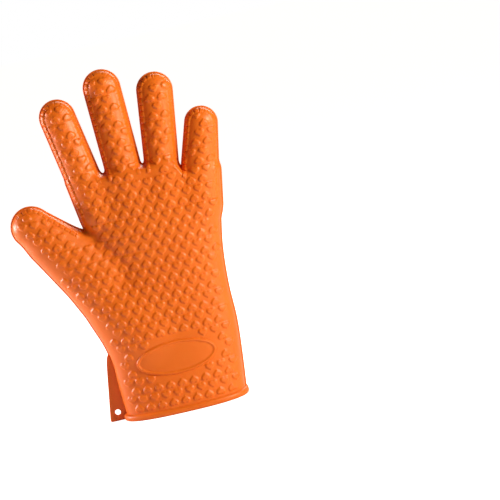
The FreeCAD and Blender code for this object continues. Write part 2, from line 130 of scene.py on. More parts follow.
# A digit's axis is the line through its two joints, and its round tip touches the top of its end cap.
def readDigit(name):
    first, second = (jointAt[j][[0, 2]] - (cuffX, 0) for j in jointNames[name])
    up = (second - first) / np.linalg.norm(second - first)
    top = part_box(name + "_end_cap")[1].z / mm
    g = dict(digitSizes[name])
    g["at"] = first
    g["up"] = up
    g["across"] = np.array([up[1], -up[0]])
    g["length"] = (top - g["wide"][1] / 2 - first[1]) / up[1]
    g["second"] = second
    g["split"] = np.linalg.norm(second - first) / 2
    g["tip"] = first + up * g["length"]
    return g


digits = {name: readDigit(name) for name in digitSizes}


# A smooth step from 0 to 1 between low and high: three t squared less two t cubed.
def easeIn(low, high, v):
    t = np.clip((v - low) / (high - low), 0, 1)
    return t * t * (3 - 2 * t)


# The smaller of two fields, less k h squared / 4 where they are nearly equal, with h = 1 - |f - g| / k.
def joinSmooth(f, g, k):
    h = np.maximum(1 - np.abs(f - g) / k, 0)
    return np.minimum(f, g) - h * h * k / 4


# A smooth curve through the palm's values: cubic Hermite spans with slopes from the neighbours.
def along(z, key):
    at, value = np.array(palm["height"], float), np.array(palm[key], float)
    slope = np.gradient(value, at)
    i = np.clip(np.searchsorted(at, z, side="right") - 1, 0, len(at) - 2)
    h = at[i + 1] - at[i]
    t = np.clip((z - at[i]) / h, 0, 1)
    start = (2 * t**3 - 3 * t**2 + 1) * value[i] + (t**3 - 2 * t**2 + t) * h * slope[i]
    end = (3 * t**2 - 2 * t**3) * value[i + 1] + (t**3 - t**2) * h * slope[i + 1]
    return start + end


# Distance along the digit from its first joint, and across it.
def digitPlace(g, x, z):
    dx, dz = x - g["at"][0], z - g["at"][1]
    return dx * g["up"][0] + dz * g["up"][1], dx * g["across"][0] + dz * g["across"][1]


# Half the width and half the depth at s, both linear from the first joint to the tip.
def digitHalf(g, s):
    share = np.clip(s / g["length"], -3, 1)
    a = (g["wide"][0] + (g["wide"][1] - g["wide"][0]) * share) / 2 - skin["fin"]
    b = (g["deep"][0] + (g["deep"][1] - g["deep"][0]) * share) / 2
    return a, b


# An elliptical bar along the axis with round ends: a times the root of (t/a)^2 + (y/b)^2 + (e/a)^2, less
# a, where t is across, y is deep and e is past either end.
def digitField(g, x, y, z):
    s, t = digitPlace(g, x, z)
    a, b = digitHalf(g, s)
    e = np.maximum(s - g["length"], 0) + np.maximum(-g["root"] - s, 0)
    return (np.sqrt((t / a) ** 2 + (y / b) ** 2 + (e / a) ** 2) - 1) * a


# The height where the palm gives way to the fingers: level, then lower by an S-curve below the little one.
def palmTop(x):
    return palm["top"] - palm["topDrop"] / (1 + np.exp(-(x - palm["topDropAt"]) / palm["topDropRun"]))


# The palm's two edges at a height, inside the fin.
def palmEdges(z):
    return along(z, "left") + skin["fin"], along(z, "right") - skin["fin"]


# A squarish ellipse at each height, b ((|x/a|^n + |y/b|^n)^(1/n) - 1), cut off where the fingers start.
def palmField(x, y, z):
    left, right = palmEdges(z)
    middle, a, b, n = (left + right) / 2, (right - left) / 2, along(z, "depth"), palm["round"]
    f = ((np.abs((x - middle) / a) ** n + np.abs(y / b) ** n) ** (1 / n) - 1) * b
    return -joinSmooth(-f, palmTop(x) - z, joins["top"])


# Share of the way down the ball of the thumb, distance across it and past its ends.
def heelPlace(x, z):
    high, low = np.array(heel["high"]), np.array(heel["low"])
    size = np.linalg.norm(low - high)
    u = (low - high) / size
    s = (x - high[0]) * u[0] + (z - high[1]) * u[1]
    t = (x - high[0]) * u[1] - (z - high[1]) * u[0]
    return np.clip(s / size, 0, 1), t, np.maximum(-s, 0) + np.maximum(s - size, 0)


# The same bar as a digit's, along the ball of the thumb.
def heelField(x, y, z):
    k, t, e = heelPlace(x, z)
    a = heel["wide"][0] + (heel["wide"][1] - heel["wide"][0]) * k - skin["fin"]
    b = heel["deep"][0] + (heel["deep"][1] - heel["deep"][0]) * k
    return (np.sqrt((t / a) ** 2 + (y / b) ** 2 + (e / a) ** 2) - 1) * a


# Below 0 inside the glove and 0 on its skin: the palm, heel, thumb and fingers joined smoothly.
def gloveField(x, y, z):
    f = joinSmooth(palmField(x, y, z), heelField(x, y, z), joins["heel"])
    f = joinSmooth(f, digitField(digits["thumb"], x, y, z), joins["thumb"])
    hand = digitField(digits["index"], x, y, z)
    for name in fingers[1:]:
        hand = joinSmooth(hand, digitField(digits[name], x, y, z), joins["fingers"])
    return joinSmooth(f, hand, joins["palm"])


# How far a point is inside the outline: the largest of half width less |t| over all the shapes.
def outlineDepth(x, z):
    left, right = palmEdges(z)
    d = np.minimum(np.minimum(x - left, right - x), palmTop(x) - z)
    k, t, e = heelPlace(x, z)
    a = heel["wide"][0] + (heel["wide"][1] - heel["wide"][0]) * k - skin["fin"]
    d = np.maximum(d, a - np.hypot(t, e))
    d = np.maximum(d, ball["radius"] - np.hypot(x - ball["at"][0], z - ball["at"][1]))
    for g in digits.values():
        s, t = digitPlace(g, x, z)
        e = np.maximum(s - g["length"], 0) + np.maximum(-g["root"] - s, 0)
        d = np.maximum(d, digitHalf(g, s)[0] - np.hypot(t, e))
    return d


# how the skin and the outline are searched for, and where the searches to either side begin
search = {
    "deepest": 40.0, "heightHalvings": 22, "edgeHalvings": 16, "left": -35.0, "right": 45.0, "far": 90.0,
}


# The skin's height over a point of the outline plane, by halving a span; 0 outside the outline.
def skinHeight(x, z):
    low, high = np.zeros_like(x), np.full_like(x, search["deepest"])
    for _ in range(search["heightHalvings"]):
        middle = (low + high) / 2
        inside = gloveField(x, middle, z) < 0
        low, high = np.where(inside, middle, low), np.where(inside, high, middle)
    return np.where(gloveField(x, np.zeros_like(x), z) < 0, (low + high) / 2, 0)


# The first distance from (x, z) along (dx, dz) where the outline is crossed: a march, then halving.
def reachOut(x, z, dx, dz, far=60.0, stride=0.4):
    x, z, dx, dz = (np.asarray(v, float)[..., None] for v in (x, z, dx, dz))
    steps = np.arange(0, far, stride)
    outside = gloveField(x + dx * steps, 0 * (x + steps), z + dz * steps) > 0
    high = steps[np.argmax(outside, axis=-1)]
    low = np.maximum(high - stride, 0)
    x, z, dx, dz = x[..., 0], z[..., 0], dx[..., 0], dz[..., 0]
    for _ in range(search["edgeHalvings"]):
        middle = (low + high) / 2
        inside = gloveField(x + dx * middle, 0 * x, z + dz * middle) < 0
        low, high = np.where(inside, middle, low), np.where(inside, high, middle)
    return (low + high) / 2


# The outline's x at the given heights: to the left of the palm for way -1, to the right for way +1.
def sideAt(heights, way):
    heights = np.asarray(heights, float)
    start = search["right" if way > 0 else "left"] + 0 * heights
    return start + way * reachOut(start, heights, way + 0 * heights, 0 * heights, far=search["far"])


# The direction in which gloveField grows fastest, by central differences, made one unit long.
def skinNormal(p):
    x, y, z = p[..., 0], p[..., 1], p[..., 2]
    h = skin["step"]
    n = np.stack([
        gloveField(x + h, y, z) - gloveField(x - h, y, z),
        gloveField(x, y + h, z) - gloveField(x, y - h, z),
        gloveField(x, y, z + h) - gloveField(x, y, z - h),
    ], axis=-1)
    return n / np.maximum(np.linalg.norm(n, axis=-1, keepdims=True), 1e-9)


gap = {
    "grid": 0.25, "below": 4.0, "stride": 0.1, "aside": 8, "inside": 12,
    "fingers": (175, 215), "thumb": (-66, -40, 140, 175),
}


# The lowest point outside the glove in a box between two digits, then the skin straight below it.
def gapBottom(xLow, xHigh, zLow, zHigh):
    x, z = np.meshgrid(np.arange(xLow, xHigh, gap["grid"]), np.arange(zLow, zHigh, gap["grid"]))
    outside = gloveField(x, 0 * x, z) > 0
    i = np.argmin(np.where(outside, z, np.inf))
    px, pz = x.ravel()[i], z.ravel()[i] - gap["below"]
    return np.array([px, pz + reachOut(px, pz, 0.0, 1.0, far=2 * gap["below"], stride=gap["stride"])])


middles = [(digits[a]["at"][0] + digits[b]["at"][0]) / 2 for a, b in zip(fingers, fingers[1:])]
gaps = [gapBottom(m - gap["aside"], m + gap["aside"], *gap["fingers"]) for m in middles]
thumbGap = gapBottom(*gap["thumb"])


# The far side of a digit from the point p, straight along d.
def farSide(p, d):
    d = np.array(d) / np.linalg.norm(d)
    start = p + d * gap["inside"]
    return start + d * reachOut(start[0], start[1], d[0], d[1])


# the first rings of the digits: a chain of points across the fingers, and a pair on the thumb
digitEdge = [farSide(gaps[0], -digits["index"]["across"]), *gaps, farSide(gaps[2], (1.0, 0.0))]
thumbEdge = [farSide(thumbGap, -digits["thumb"]["across"]), thumbGap]
print("form ready: gaps between the digits at", [np.round(g, 1).tolist() for g in [thumbGap, *gaps]])

# grip bumps: two leaning sets of hearts a half pitch apart, one of them upside down
hearts = {
    "pitch": 9.5, "pair": 14.0, "apart": 0.3, "at": (0.0, 129.0), "lean": 0.03,
    "wide": 7.7, "tall": 2.8, "notch": 0.62, "notchSoft": 0.04, "drop": 0.15,
    "high": 1.05, "edge": 1.05, "flat": 0.88,
    "inside": 3.7, "leftMore": 1.5, "thumbAt": -45.0, "margin": 6.0, "marginTop": 120.0, "low": 8.5,
}
# bars beside the edges of the digits: strong on one side, faint on the other
ribs = {
    "pitch": 5.0, "groove": 0.28, "band": (0.4, 3.7), "rise": (0.7, 0.8), "clear": 0.9,
    "high": 0.95, "faint": 0.3, "fade": 4.0, "past": 0.6, "startRun": 4.0, "thumbFrom": -4.0,
    "strong": (0.5, 0.9),
}
plateLow, plateHigh = (np.array(c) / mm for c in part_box("back_plate"))
oval = {
    "at": ((plateLow[0] + plateHigh[0]) / 2 - cuffX, (plateLow[2] + plateHigh[2]) / 2),
    "half": ((plateHigh[0] - plateLow[0]) / 2, (plateHigh[2] - plateLow[2]) / 2),
    "clear": 4.0, "raise": 0.45, "rim": 2.6, "rimHigh": 0.95,
}
# fine level ridges between the rows of hearts on the front
lines = {"high": 0.35, "wide": 1.0, "phase": 0.25, "inside": (4.0, 6.0), "above": (8.0, 12.0)}


# One set of hearts on a leaning lattice, raised where r is under 1: r squared is u^2 plus the square of
# v - notch root |u| + drop, with u across the heart and v along it. The hearts stay off the outline, the
# right margin, the cuff's rim and the ovals.
def heartRow(x, z, turned):
    half = 0.5 if turned else 0.0
    row = np.round((z - hearts["at"][1]) / hearts["pair"] + half)
    cz = hearts["at"][1] + (row - half) * hearts["pair"] + hearts["apart"] * (1 if turned else -1)
    start = hearts["at"][0] + hearts["lean"] * (cz - hearts["at"][1]) + half * hearts["pitch"]
    cx = start + np.round((x - start) / hearts["pitch"]) * hearts["pitch"]
    u = (x - cx) / (hearts["wide"] / 2)
    v = (z - cz) / hearts["tall"] * (-1 if turned else 1)
    v = v - hearts["notch"] * np.sqrt(np.abs(u) + hearts["notchSoft"]) + hearts["drop"]
    r = np.sqrt(u**2 + v**2)
    rise = easeIn(0, 1, (1 - r) * hearts["wide"] / 2 / hearts["edge"])
    dome = hearts["flat"] + (1 - hearts["flat"]) * np.clip(1 - r * r, 0, 1)
    left = outlineDepth(cx - hearts["leftMore"], cz)
    right = outlineDepth(cx + np.where(cx < hearts["thumbAt"], hearts["leftMore"], 0), cz)
    shown = (np.minimum(left, right) > hearts["inside"]) & (cz > hearts["low"])
    shown &= (cz > hearts["marginTop"]) | (along(cz, "right") - cx > hearts["margin"])
    e = (cx - oval["at"][0]) ** 2 / (oval["half"][0] + oval["clear"]) ** 2
    e += (cz - oval["at"][1]) ** 2 / (oval["half"][1] + oval["clear"]) ** 2
    return hearts["high"] * rise * dome * (shown & (e > 1))


# Short bars beside the edge of each digit, a set pitch apart along its outline, and the band they fill.
def ribHeight(x, z):
    best, zone = np.zeros_like(x), np.zeros_like(x)
    nearEdge = outlineDepth(x, z) < ribs["band"][1] + ribs["past"]
    for name, g in digits.items():
        s, t = digitPlace(g, x, z)
        e = np.maximum(s - g["length"], 0)
        a = digitHalf(g, s)[0]
        d = a - np.hypot(t, e)
        arc = np.minimum(s, g["length"]) + a * np.arctan2(e, np.abs(t))
        wave = np.abs(arc / ribs["pitch"] - np.floor(arc / ribs["pitch"]) - 0.5) * 2
        bar = easeIn(0, ribs["groove"], 1 - wave)
        band = easeIn(ribs["band"][0], ribs["band"][0] + ribs["rise"][0], d)
        band = band * (1 - easeIn(ribs["band"][1] - ribs["rise"][1], ribs["band"][1], d))
        strongSide = easeIn(-ribs["fade"], ribs["fade"], t if name == "thumb" else -t)
        faint = 0.0 if name == "thumb" else ribs["faint"]
        side = faint + (ribs["high"] - faint) * strongSide
        edgeBand = 1 - easeIn(ribs["band"][1], ribs["band"][1] + ribs["clear"], d)
        start = ribs["thumbFrom"] if name == "thumb" else -g["root"]
        side = side * easeIn(start, start + ribs["startRun"], s) * nearEdge
        best = np.maximum(best, bar * band * side)
        zone = np.maximum(zone, edgeBand * (d > 0) * easeIn(*ribs["strong"], side))
    return best, zone


# How far the skin stands out of its smooth form: the largest of hearts, bars and, on the front, ridges.
def reliefHeight(x, z, front):
    bars, zone = ribHeight(x, z)
    h = np.maximum(np.maximum(heartRow(x, z, False), heartRow(x, z, True)) * (1 - zone), bars)
    ridge = np.abs((z - hearts["at"][1]) / hearts["pair"] + lines["phase"])
    ridge = np.abs(ridge - np.round(ridge)) * hearts["pair"]
    inside = easeIn(*lines["inside"], outlineDepth(x, z)) * easeIn(*lines["above"], z)
    return np.maximum(h, lines["high"] * (1 - easeIn(0, lines["wide"], ridge)) * inside * front)


# The volume that a mesh encloses: the sum of a . (b x c) / 6 over its triangles.
def meshVolume(points, faces):
    total = 0.0
    for group in faces:
        for k in range(1, group.shape[1] - 1):
            a, b, c = points[group[:, 0]], points[group[:, k]], points[group[:, k + 1]]
            total += np.einsum("ij,ij->", a, np.cross(b, c)) / 6
    return total


# A closed wall: the outer grid, every step-th row of it inside, and strips or caps along all the borders.
# pole is the pair of end points, outside and inside, where the last rows close.
def gridShell(outer, inner, step, closed, pole=None):
    rows, columns = outer.shape[:2]
    shift = rows * columns
    points = [outer.reshape(-1, 3), inner.reshape(-1, 3)]
    out = np.arange(shift).reshape(rows, columns)
    inn = shift + np.arange(inner.shape[0] * columns).reshape(-1, columns)

    def wrap(a):
        return np.concatenate([a, a[:, :1]], axis=1) if closed else a

    def quads(a):
        a = wrap(a)
        return np.stack([a[:-1, :-1], a[:-1, 1:], a[1:, 1:], a[1:, :-1]], axis=-1).reshape(-1, 4)

    def border(a, b):
        a, b = wrap(a[None])[0], wrap(b[None])[0]
        return np.stack([a[:-1], b[:-1], b[1:], a[1:]], axis=-1)

    faces = [quads(out), quads(inn)[:, ::-1], border(out[0], inn[0])]
    if pole is None:
        faces.append(border(out[-1], inn[-1])[:, ::-1])
    else:
        points.append(np.array(pole))
        last = shift + inn.size
        for ring, tip, way in ((out[-1], last, 1), (inn[-1], last + 1, -1)):
            ring = wrap(ring[None])[0]
            fan = np.stack([ring[:-1], ring[1:], np.full(len(ring) - 1, tip)], axis=-1)
            faces.append(fan[:, ::way])
    if not closed:
        for column, way in ((0, 1), (columns - 1, -1)):
            a = out[:, column]
            chain = np.stack([a[k:rows - step + k:step] for k in range(step + 1)], axis=-1)
            b = inn[:, column]
            faces.append(np.concatenate([chain, b[1:, None], b[:-1, None]], axis=-1)[:, ::way])
    return np.concatenate(points), faces


# The sides of a profile carried along a path: each row of points is one closed profile. An endless path
# joins its last row to its first.
def tubeFaces(rows, columns, endless):
    index = np.arange(rows * columns).reshape(rows, columns)
    ring = np.concatenate([index, index[:, :1]], axis=1)
    if endless:
        ring = np.concatenate([ring, ring[:1]], axis=0)
    sides = np.stack([ring[:-1, :-1], ring[:-1, 1:], ring[1:, 1:], ring[1:, :-1]], axis=-1)
    return sides.reshape(-1, 4), index


# the fin's section: shares of its reach outwards, and of half its thickness to either side
finShape = {"out": (0.45, 0.85, 1, 0.85, 0.45), "aside": (1, 1, 0.72, 0, -0.72, -1, -1)}


# A rounded rib carried along the outline: each point of its section stands outwards from the path.
def finOn(path):
    n = skinNormal(np.stack([path[:, 0], 0 * path[:, 0], path[:, 1]], axis=-1))[:, [0, 2]]
    outward = n / np.linalg.norm(n, axis=-1, keepdims=True)
    root = -skin["finRoot"]
    o = np.array([root, *(share * skin["fin"] for share in finShape["out"]), root])
    h = np.array(finShape["aside"]) * skin["finThick"] / 2
    flat = path[:, None] + outward[:, None] * o[None, :, None]
    points = np.stack([flat[..., 0], np.broadcast_to(h, flat.shape[:2]), flat[..., 1]], axis=-1)
    sides, index = tubeFaces(len(path), len(o), False)
    return points.reshape(-1, 3), [sides, index[:1, ::-1], index[-1:]]


# One object from several closed parts, each turned so that its faces point outwards.
def putMesh(name, parts, material, sharp=72.0):
    points, faces, start = [], [], 0
    for p, groups in parts:
        turn = -1 if meshVolume(p, groups) < 0 else 1
        for group in groups:
            faces += (group[:, ::turn] + start).tolist()
        points.append(p)
        start += len(p)
    points = (np.concatenate(points) + (cuffX, 0, 0)) * mm
    mesh = bpy.data.meshes.new(name)
    mesh.from_pydata(points.tolist(), [], faces)
    mesh.polygons.foreach_set("use_smooth", np.ones(len(faces), bool))
    mesh.set_sharp_from_angle(angle=math.radians(sharp))
    mesh.materials.append(material)
    piece = bpy.data.objects.new(name, mesh)
    bpy.context.scene.collection.objects.link(piece)
    triangles = sum(len(f) - 2 for f in faces)
    print(name, "has", triangles, "triangles")
    return piece


# A wall's two grids. The outer one is the base moved out by its relief less the tuck, and the inner one is
# every step-th row of the base moved in by the wall. front is an array or one value for the whole grid.
def wallOf(base, front, step, tuck=0.0):
    n = skinNormal(base)
    lift = reliefHeight(base[..., 0], base[..., 2], front) - tuck
    return base + n * lift[..., None], (base - n * skin["wall"])[::step]


# What every piece says: the nodes it stands for, which are hidden, and, when one is given, the body it
# rides on.
def standFor(piece, nodes, body=None):
    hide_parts(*nodes)
    if body:
        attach(piece, body)


# the size, detail and roughness of each noise, the depth of the finest one, and how light soaks in
moulded = {
    "clouds": (38.0, 4.0, 0.55), "sheen": (420.0, 3.0, 0.6), "fine": (2600.0, 2.0, 0.5), "depth": 0.00012,
    "bend": 1.42, "soak": 0.12, "reach": (1.0, 0.28, 0.08), "scale": 0.0015,
}


# Moulded silicone: two close oranges in soft clouds, an uneven satin gloss and a fine skin.
def silicone(name, deep, light, rough, grain):
    material = bpy.data.materials.new(name)
    material.use_nodes = True
    nodes, links = material.node_tree.nodes, material.node_tree.links
    shader = nodes["Principled BSDF"]
    place = nodes.new("ShaderNodeTexCoord")

    def noise(scale, detail, roughness):
        n = nodes.new("ShaderNodeTexNoise")
        n.inputs["Scale"].default_value = scale
        n.inputs["Detail"].default_value = detail
        n.inputs["Roughness"].default_value = roughness
        links.new(place.outputs["Object"], n.inputs["Vector"])
        return n

    clouds = noise(*moulded["clouds"])
    tint = nodes.new("ShaderNodeMix")
    tint.data_type = "RGBA"
    tint.inputs[6].default_value = (*deep, 1)
    tint.inputs[7].default_value = (*light, 1)
    links.new(clouds.outputs["Fac"], tint.inputs[0])
    links.new(tint.outputs[2], shader.inputs["Base Color"])
    sheen = noise(*moulded["sheen"])
    satin = nodes.new("ShaderNodeMapRange")
    satin.inputs["To Min"].default_value = rough[0]
    satin.inputs["To Max"].default_value = rough[1]
    links.new(sheen.outputs["Fac"], satin.inputs["Value"])
    links.new(satin.outputs["Result"], shader.inputs["Roughness"])
    fine = noise(*moulded["fine"])
    bump = nodes.new("ShaderNodeBump")
    bump.inputs["Strength"].default_value = grain
    bump.inputs["Distance"].default_value = moulded["depth"]
    links.new(fine.outputs["Fac"], bump.inputs["Height"])
    links.new(bump.outputs["Normal"], shader.inputs["Normal"])
    shader.inputs["IOR"].default_value = moulded["bend"]
    shader.inputs["Subsurface Weight"].default_value = moulded["soak"]
    shader.inputs["Subsurface Radius"].default_value = moulded["reach"]
    shader.inputs["Subsurface Scale"].default_value = moulded["scale"]
    return material


finishes = {
    "relief": silicone("orangeSilicone", (0.72, 0.128, 0.005), (0.80, 0.165, 0.009), (0.34, 0.46), 0.35),
    "smooth": silicone("smoothSilicone", (0.72, 0.132, 0.006), (0.78, 0.160, 0.009), (0.40, 0.50), 0.20),
}

# the palm and cuff skin laps under the thumb's first ring and under the knuckles, tucked in below them
sleeve = {
    "low": 5.0, "top": 160.0, "rows": 250, "columns": 260, "step": 5, "samples": 181,
    "lap": 2.0, "lapRun": 5.0, "tuck": 1.2, "tuckSide": (0.3, 1.3), "tuckRun": 6.0, "tuckLeast": 0.1,
    "besideFrom": 3.0, "ringClear": 0.3, "crotchTurn": (0.04, 0.14, 0.3, 0.55, 0.85, 1.2),
}
knuckle = {"low": 158.5, "rows": 84, "step": 4, "foldLow": 160.0, "foldHigh": 184.0}


# x at chosen shares of the length along each row of the skin, read off a fine cosine spread of samples.
def rowSpread(xL, xR, z, share):
    t = np.linspace(0, 1, sleeve["samples"])
    x = (xL + xR)[:, None] / 2 - np.cos(math.pi * t) * (xR - xL)[:, None] / 2
    y = skinHeight(x, np.broadcast_to(z[:, None], x.shape))
    steps = np.hypot(np.diff(x), np.diff(y))
    length = np.concatenate([np.zeros((len(z), 1)), np.cumsum(steps, axis=1)], axis=1)
    return np.stack([np.interp(share * l[-1], l, row) for l, row in zip(length, x)])


# Level rows from the left outline, or from the thumb's first ring, to the right outline.
def palmGrid():
    z = np.linspace(sleeve["low"], sleeve["top"], sleeve["rows"] + 1)
    xL, (a, b) = sideAt(z, -1), thumbEdge
    line = a[0] + (z - a[1]) * (b[0] - a[0]) / (b[1] - a[1])
    line = line - sleeve["lap"] * easeIn(0, sleeve["lapRun"], b[1] - z)
    xL = np.where(z < b[1], np.maximum(xL, line), xL)
    x = rowSpread(xL, sideAt(z, 1), z, np.linspace(0, 1, sleeve["columns"]))
    return x, np.broadcast_to(z[:, None], x.shape).copy()


# How far a point is past the thumb's first ring, on the thumb's side.
def besideThumb(x, z):
    a, b = thumbEdge
    d = (b - a) / np.linalg.norm(b - a)
    return np.where(z > a[1] - sleeve["besideFrom"], (z - a[1]) * d[0] - (x - a[0]) * d[1], 0)


# Points of the outline plane lifted onto the skin of one face.
def faceBase(x, z, side):
    return np.stack([x, side * skinHeight(x, z), z], axis=-1)


# One face of the glove as a closed wall, with its share of the fin.
def addFace(name, x, z, side, step, tuck, fins):
    base = faceBase(x, z, side)
    outer, inner = wallOf(base, side > 0, step, tuck)
    parts = [gridShell(outer, inner, step, False)] + [finOn(p) for p in fins]
    return putMesh(name, parts, finishes["relief"])


# The outline on one side at the given heights, as a path for the fin.
def sideEdge(heights, way):
    return np.stack([sideAt(heights, way), heights], axis=-1)


# One skin on each face of the cuff and palm. The back one carries the fin: below the thumb, from the
# thumb's upper end to the knuckles, and on the right.
def addPalm():
    x, z = palmGrid()
    ringLow, ringHigh = thumbEdge
    tuck = sleeve["tuck"] * easeIn(*sleeve["tuckSide"], besideThumb(x, z))
    least = sleeve["tuckLeast"]
    tuck = tuck * (least + (1 - least) * easeIn(0, sleeve["tuckRun"], ringHigh[1] - z))
    level = z[:, 0]
    below = level[level < ringLow[1] - sleeve["ringClear"]]
    lowEdge = np.concatenate([sideEdge(below, -1), ringLow[None]])
    turn = ringHigh[1] + np.array(sleeve["crotchTurn"])
    above = np.append(turn[turn < knuckle["low"]], knuckle["low"])
    highEdge = np.concatenate([ringHigh[None], sideEdge(above, -1)])
    edgeR = sideEdge(np.append(level[level < knuckle["low"]], knuckle["low"]), 1)
    for side, name, fins, nodes in (
        (-1, "palmSkinBack", (lowEdge, highEdge, edgeR), ("back_panel", "cuff_sleeve")),
        (1, "palmSkinFront", (), ("palm_panel",)),
    ):
        piece = addFace(name, x, z, side, sleeve["step"], tuck, fins)
        standFor(piece, nodes, "root")


addPalm()
print("cuff and palm made")


# Points along the chord from a to b, spread as the cosine of equal angles, so that its ends are fine.
def ringSpread(a, b, half):
    phi = np.linspace(0, math.pi, half + 1)
    return (a + b) / 2 - np.cos(phi)[:, None] * (b - a) / 2


# Straight columns from a level row to the chords across the fingers; the ends follow the outline.
def knuckleGrid():
    half = digitSizes["index"]["columns"]
    chords = [ringSpread(a, b, half) for a, b in zip(digitEdge, digitEdge[1:])]
    top = np.concatenate([c[:-1] for c in chords] + [chords[-1][-1:]])
    sizes = np.array([np.linalg.norm(b - a) for a, b in zip(digitEdge, digitEdge[1:])])
    share = np.concatenate([[0], np.cumsum(np.repeat(sizes / half, half))]) / sizes.sum()
    low = np.array([knuckle["low"]])
    bottom = rowSpread(sideAt(low, -1), sideAt(low, 1), low, share)[0]
    w = np.sin(np.linspace(0, math.pi / 2, knuckle["rows"] + 1))[:, None]
    x = bottom + (top[:, 0] - bottom) * w
    z = low + (top[:, 1] - low) * w
    atL, atR = sideAt(z[:, 0], -1), sideAt(z[:, -1], 1)
    atL[-1], atR[-1] = top[0, 0], top[-1, 0]
    x = x + (atL - x[:, 0])[:, None] * (1 - share) ** 3 + (atR - x[:, -1])[:, None] * share**3
    return x, z


# One skin on each face of the knuckles, lying between the palm and the knuckles.
def addKnuckles():
    x, z = knuckleGrid()
    tuck = sleeve["tuck"] * (1 - easeIn(knuckle["low"], sleeve["top"], z))
    edgeL, edgeR = (np.stack([x[:, k], z[:, k]], axis=-1) for k in (0, -1))
    for side, name, fins, nodes in (
        (-1, "knuckleSkinBack", (edgeL, edgeR), ("knuckle_back", "finger_web", "knuckle_crease")),
        (1, "knuckleSkinFront", (), ("knuckle_front",)),
    ):
        piece = addFace(name, x, z, side, knuckle["step"], tuck, fins)
        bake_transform(piece)
        standFor(piece, nodes)


addKnuckles()
print("knuckles made")

digitRows = {"dome": 29, "step": 4, "gather": 1.25, "turn": 0.45, "foldShare": 0.95}


# Rows of chords from the first ring (a, b) to the tip's middle, each between the outline crossings on
# its two sides, then a dome: the last ring shrunk by cos e and raised by sin e times half its width.
# Columns go once round, the back face first.
def digitGrid(g, a, b):
    half = g["columns"]
    below, above = g["rows"]
    phi = np.arange(2 * half) * math.pi / half
    start, tip = (a + b) / 2, g["tip"]
    reach = np.linalg.norm(tip - start)
    cut = (reach - (g["length"] - g["split"])) / reach
    t = np.concatenate([
        cut * np.linspace(0, 1, below + 1) ** digitRows["gather"],
        cut + (1 - cut) * np.linspace(0, 1, above + 1)[1:],
    ])[:, None]
    centre = start + (tip - start) * t
    first = (b - a) / np.linalg.norm(b - a)
    way = first + (g["across"] - first) * easeIn(0, digitRows["turn"], t)
    way = way / np.linalg.norm(way, axis=-1, keepdims=True)
    left = centre - way * reachOut(centre[:, 0], centre[:, 1], -way[:, 0], -way[:, 1])[:, None]
    right = centre + way * reachOut(centre[:, 0], centre[:, 1], way[:, 0], way[:, 1])[:, None]
    left[0], right[0] = a, b
    flat = ((left + right) / 2)[:, None] - np.cos(phi)[None, :, None] * ((right - left) / 2)[:, None]
    turn = np.where(np.sin(phi) > 0, -1.0, 1.0)
    y = turn * skinHeight(flat[..., 0], flat[..., 1])
    y[:, [0, half]] = 0
    body = np.stack([flat[..., 0], y, flat[..., 1]], axis=-1)
    wide, deep = digitHalf(g, g["length"])
    e = (np.arange(1, digitRows["dome"]) * math.pi / 2 / digitRows["dome"])[:, None]
    run = -np.cos(phi)[None] * np.cos(e) * wide
    rise = np.broadcast_to(np.sin(e) * wide, run.shape)
    dome = np.stack([
        tip[0] + run * g["across"][0] + rise * g["up"][0],
        -np.sin(phi)[None] * np.cos(e) * deep,
        tip[1] + run * g["across"][1] + rise * g["up"][1],
    ], axis=-1)
    pole = tip + g["up"] * wide
    return np.concatenate([body, dome]), pole


# Two walls that share the ring halfway between the joints, each lying over one joint.
def addDigit(name, a, b, bodies, nodes):
    g = digits[name]
    base, pole = digitGrid(g, a, b)
    half, step, cut = g["columns"], digitRows["step"], g["rows"][0]
    outer, inner = wallOf(base, base[..., 1] > 0, 1)
    edgeL, edgeR = base[:, 0][:, [0, 2]], base[:, half][:, [0, 2]]
    up3 = np.array([g["up"][0], 0, g["up"][1]])
    poleAt = np.array([pole[0], 0, pole[1]])
    lower = [gridShell(outer[:cut + 1], inner[:cut + 1:step], step, True)]
    lower += [finOn(edgeL[:cut + 1]), finOn(edgeR[:cut + 1])]
    overTip = np.concatenate([edgeL[cut:], pole[None], edgeR[cut:][::-1]])
    tip = [gridShell(outer[cut:], inner[cut::step], step, True, [poleAt, poleAt - up3 * skin["wall"]])]
    tip += [finOn(overTip)]
    room = g["split"] * digitRows["foldShare"]
    ringRoom = min(-digitPlace(g, *a)[0], -digitPlace(g, *b)[0])
    for part, parts, at, pair, before, replaced in (
        ("Lower", lower, g["at"], bodies[:2], min(room, ringRoom), nodes[0]),
        ("Tip", tip, g["second"], bodies[1:], room, nodes[1]),
    ):
        piece = putMesh(name + "Skin" + part, parts, finishes["relief"])
        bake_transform(piece)
        standFor(piece, replaced)
    print(name, "bends over", round(min(room, ringRoom) + room, 1), "mm at its first joint")


for name, a, b in zip(fingers, digitEdge, digitEdge[1:]):
    addDigit(name, a, b, ("knuckles", name + "_middle", name + "_end"), (
        (name + "_lower_tube", name + "_middle_crease"),
        (name + "_middle_tube", name + "_end_crease", name + "_end_cap"),
    ))
addDigit("thumb", *thumbEdge, ("root", "thumb_lower", "thumb_end"), (
    ("thumb_base_crease", "thumb_lower_tube"), ("thumb_end_crease", "thumb_end_cap")))
print("digits made")

ovalGrid = {
    "rows": 36, "columns": 144, "step": 5, "least": 0.03, "rimRound": 0.7, "rise": (0.2, 1.4),
    "edge": 0.01, "sunk": 0.15, "deep": 0.8,
}


